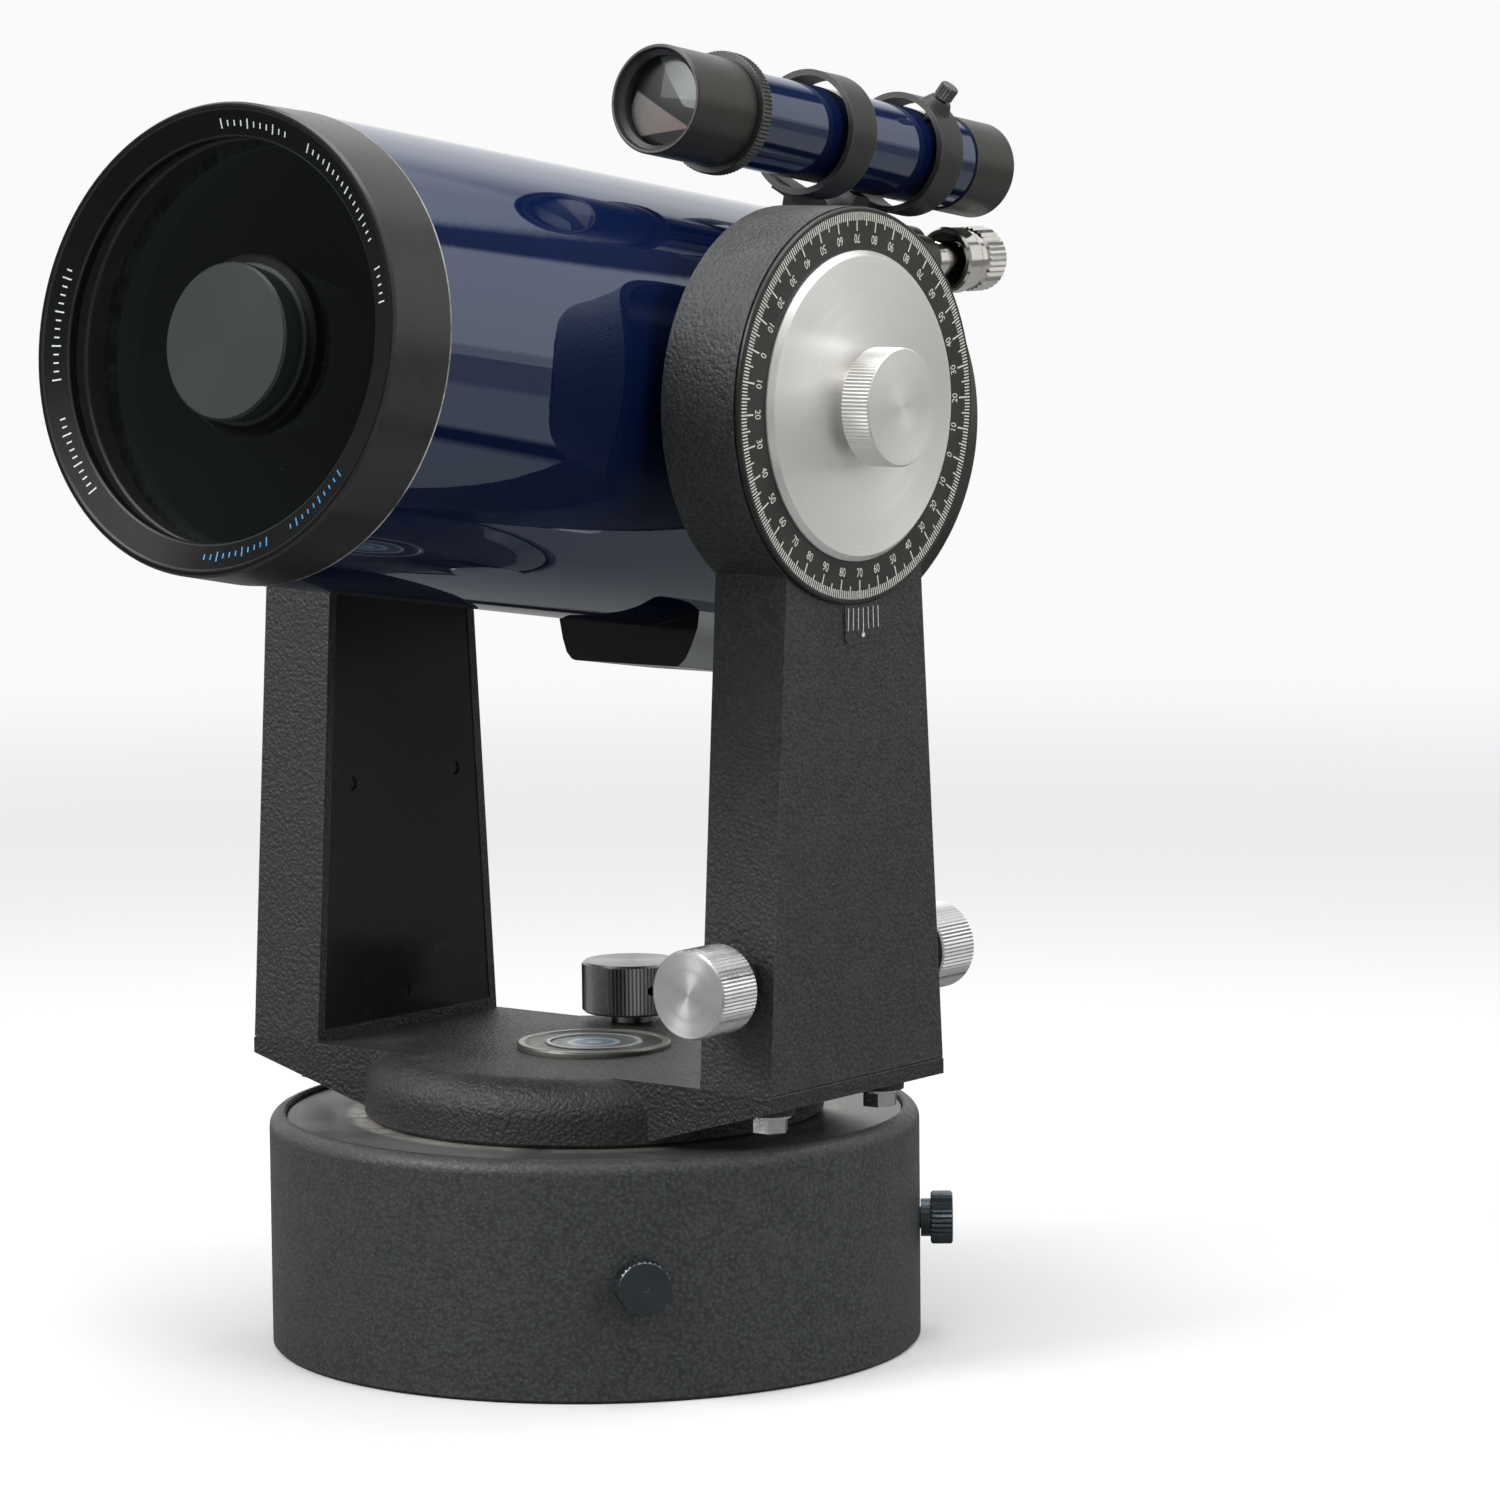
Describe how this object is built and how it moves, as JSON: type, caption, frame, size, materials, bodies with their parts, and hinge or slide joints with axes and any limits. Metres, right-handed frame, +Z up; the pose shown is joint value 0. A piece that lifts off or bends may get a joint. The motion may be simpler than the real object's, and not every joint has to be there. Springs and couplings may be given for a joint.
{
  "type": "fork mounted catadioptric telescope",
  "caption": "Compact fork mounted mirror and lens telescope: navy tube between two arms, setting circle, finder, slow motion knobs and a round drive base.",
  "frame": {"origin": "centre of the underside of the round drive base, at the tripod thread", "axes": "+Z up along the polar axis, the tube looks along -Y tipped 8.3 degrees up at rest, +X towards the arm with the setting circle; the declination axis is parallel to X at z = 257 mm"},
  "size_m": [0.197, 0.291, 0.3514],
  "materials": {
    "black_wrinkle_paint": "coarse wrinkle finish",
    "satin_black": "fine satin anodised look",
    "gloss_black": "glossy",
    "navy_enamel": "deep gloss enamel",
    "deck_grey": "worn grey metal",
    "turned_aluminium": "radially turned",
    "dark_aluminium": "straight knurl",
    "black_anodised": "satin anodised",
    "chrome": "polished",
    "steel": "machined",
    "brass": "machined",
    "dial_black": "matt with white graduations",
    "badge_grey": "satin with raised rings",
    "clutch_leather": "matt",
    "grey_plastic": "fine satin",
    "optical_glass": "coated",
    "first_surface_mirror": "polished",
    "flat_black": "matt"
  },
  "bodies": {
    "base": {"base_drum": "black_wrinkle_paint", "base_deck_plate": "deck_grey", "base_bottom_plate": "satin_black", "bottom_plate_screws": "steel", "polar_bush": "brass", "drive_motor": "steel", "power_socket": "gloss_black"},
    "leg_knob_front": {"leg_knob_front": "black_anodised"},
    "leg_knob_right": {"leg_knob_right": "black_anodised"},
    "leg_knob_rear": {"leg_knob_rear": "black_anodised"},
    "motor_pinion": {"motor_pinion": "brass"},
    "drive_gear": {"drive_gear": "brass", "clutch_washer": "clutch_leather"},
    "fork": {"fork_base": "black_wrinkle_paint", "fork_arm_right": "black_wrinkle_paint", "fork_arm_left": "black_wrinkle_paint", "arm_cover_right": "gloss_black", "arm_cover_left": "gloss_black", "arm_bolts": "steel", "polar_shaft": "steel", "polar_nut": "steel", "fork_badge": "badge_grey", "dec_bushes": "brass", "dec_bearing_cap": "black_wrinkle_paint", "dec_screw_bushes": "satin_black"},
    "ra_slow_knob": {"ra_slow_knob": "dark_aluminium", "ra_pinion": "brass"},
    "dec_screw": {"dec_screw": "steel", "dec_slow_knobs": "turned_aluminium"},
    "dec_nut": {"dec_nut": "brass"},
    "tangent_arm": {"tangent_arm": "steel"},
    "tube": {"main_tube": "navy_enamel", "front_ring": "satin_black", "corrector_plate": "optical_glass", "corrector_retainer": "flat_black", "secondary_holder": "grey_plastic", "secondary_baffle": "flat_black", "secondary_mirror": "first_surface_mirror", "rear_cell": "satin_black", "baffle_tube": "flat_black", "focus_bush": "chrome", "visual_back": "satin_black", "trunnion_right": "satin_black", "trunnion_left": "satin_black", "mounting_block": "gloss_black", "setting_circle": "dial_black", "circle_disc": "turned_aluminium", "finder_bracket": "satin_black", "finder_tube": "navy_enamel", "finder_eyepiece": "satin_black"},
    "primary_mirror": {"primary_mirror": "first_surface_mirror", "mirror_carrier": "flat_black"},
    "focus_knob": {"focus_knob": "chrome", "focus_rod": "steel"},
    "eyepiece_clamp_screw": {"eyepiece_clamp_screw": "chrome"},
    "dec_lock_knob": {"dec_lock_knob": "turned_aluminium"},
    "finder_objective": {"finder_objective": "satin_black"},
    "finder_lock_ring": {"finder_lock_ring": "satin_black"},
    "finder_aim_screw_right": {"finder_aim_screw_right": "satin_black"},
    "finder_aim_screw_left": {"finder_aim_screw_left": "satin_black"}
  },
  "joints": [
    {"name": "drive_turn", "type": "hinge", "parent": "base", "child": "drive_gear", "pos_m": [0, 0, 0.066], "axis": [0, 0, 1], "continuous": true},
    {"name": "motor_turn", "type": "hinge", "parent": "base", "child": "motor_pinion", "pos_m": [0.03897, 0.0225, 0.066], "axis": [0, 0, 1], "continuous": true},
    {"name": "ra_turn", "type": "hinge", "parent": "drive_gear", "child": "fork", "pos_m": [0, 0, 0.072], "axis": [0, 0, 1], "continuous": true},
    {"name": "ra_knob_turn", "type": "hinge", "parent": "fork", "child": "ra_slow_knob", "pos_m": [-0.01902, 0.04078, 0.09], "axis": [0, 0, 1], "continuous": true},
    {"name": "dec_screw_turn", "type": "hinge", "parent": "fork", "child": "dec_screw", "pos_m": [0.0775, 0, 0.108], "axis": [0, 1, 0], "range_deg": [-5402, 5402]},
    {"name": "dec_nut_slide", "type": "slide", "parent": "fork", "child": "dec_nut", "axis": [0, 1, 0], "range_m": [-0.015, 0.015]},
    {"name": "dec_slow_swing", "type": "hinge", "parent": "fork", "child": "tangent_arm", "pos_m": [0.0705, 0, 0.257], "axis": [-1, 0, 0], "range_deg": [-5.8, 5.8]},
    {"name": "dec_turn", "type": "hinge", "parent": "tangent_arm", "child": "tube", "pos_m": [0, 0, 0.257], "axis": [-1, 0, 0], "continuous": true},
    {"name": "dec_lock_turn", "type": "hinge", "parent": "tube", "child": "dec_lock_knob", "pos_m": [0.1, 0, 0.257], "axis": [1, 0, 0], "range_deg": [0, 360]},
    {"name": "focus_turn", "type": "hinge", "parent": "tube", "child": "focus_knob", "pos_m": [0.039, 0.09792, 0.29092], "axis": [0, 1, 0], "range_deg": [-1100, 1100]},
    {"name": "mirror_slide", "type": "slide", "parent": "tube", "child": "primary_mirror", "axis": [0, 0.9895, -0.1444], "range_m": [-0.0015, 0.0015]},
    {"name": "eyepiece_clamp_turn", "type": "hinge", "parent": "tube", "child": "eyepiece_clamp_screw", "pos_m": [-0.026, 0.1227, 0.2391], "axis": [-1, 0, 0], "range_deg": [0, 720]},
    {"name": "finder_focus_turn", "type": "hinge", "parent": "tube", "child": "finder_objective", "pos_m": [0.0392, -0.00677, 0.3353], "axis": [0, 0.9895, -0.1444], "range_deg": [-360, 360]},
    {"name": "finder_lock_turn", "type": "hinge", "parent": "tube", "child": "finder_lock_ring", "pos_m": [0.0392, 0.00906, 0.33299], "axis": [0, 0.9895, -0.1444], "range_deg": [-360, 360]},
    {"name": "finder_aim_right_turn", "type": "hinge", "parent": "tube", "child": "finder_aim_screw_right", "pos_m": [0.0392, 0.09293, 0.32075], "axis": [0.6036, 0.1151, 0.7889], "range_deg": [-360, 360]},
    {"name": "finder_aim_left_turn", "type": "hinge", "parent": "tube", "child": "finder_aim_screw_left", "pos_m": [0.0392, 0.09293, 0.32075], "axis": [-0.7973, 0.0871, 0.5973], "range_deg": [-360, 360]},
    {"name": "leg_knob_front_turn", "type": "hinge", "parent": "base", "child": "leg_knob_front", "pos_m": [0.06474, -0.06252, 0.032], "axis": [0.7193, -0.6947, 0], "range_deg": [0, 1080]},
    {"name": "leg_knob_right_turn", "type": "hinge", "parent": "base", "child": "leg_knob_right", "pos_m": [0.07281, 0.0529, 0.032], "axis": [0.809, 0.5878, 0], "range_deg": [0, 1080]},
    {"name": "leg_knob_rear_turn", "type": "hinge", "parent": "base", "child": "leg_knob_rear", "pos_m": [-0.03945, 0.08089, 0.032], "axis": [-0.4384, 0.8988, 0], "range_deg": [0, 1080]}
  ],
  "couplings": [
    {"joint": "motor_turn", "follows": "drive_turn", "ratio": -6},
    {"joint": "ra_knob_turn", "follows": "ra_turn", "ratio": 6},
    {"joint": "dec_screw_turn", "follows": "dec_nut_slide", "rad_per_m": -6283.2},
    {"joint": "dec_slow_swing", "follows": "dec_nut_slide", "rad_per_m": -6.7114},
    {"joint": "focus_turn", "follows": "mirror_slide", "rad_per_m": -12699}
  ]
}
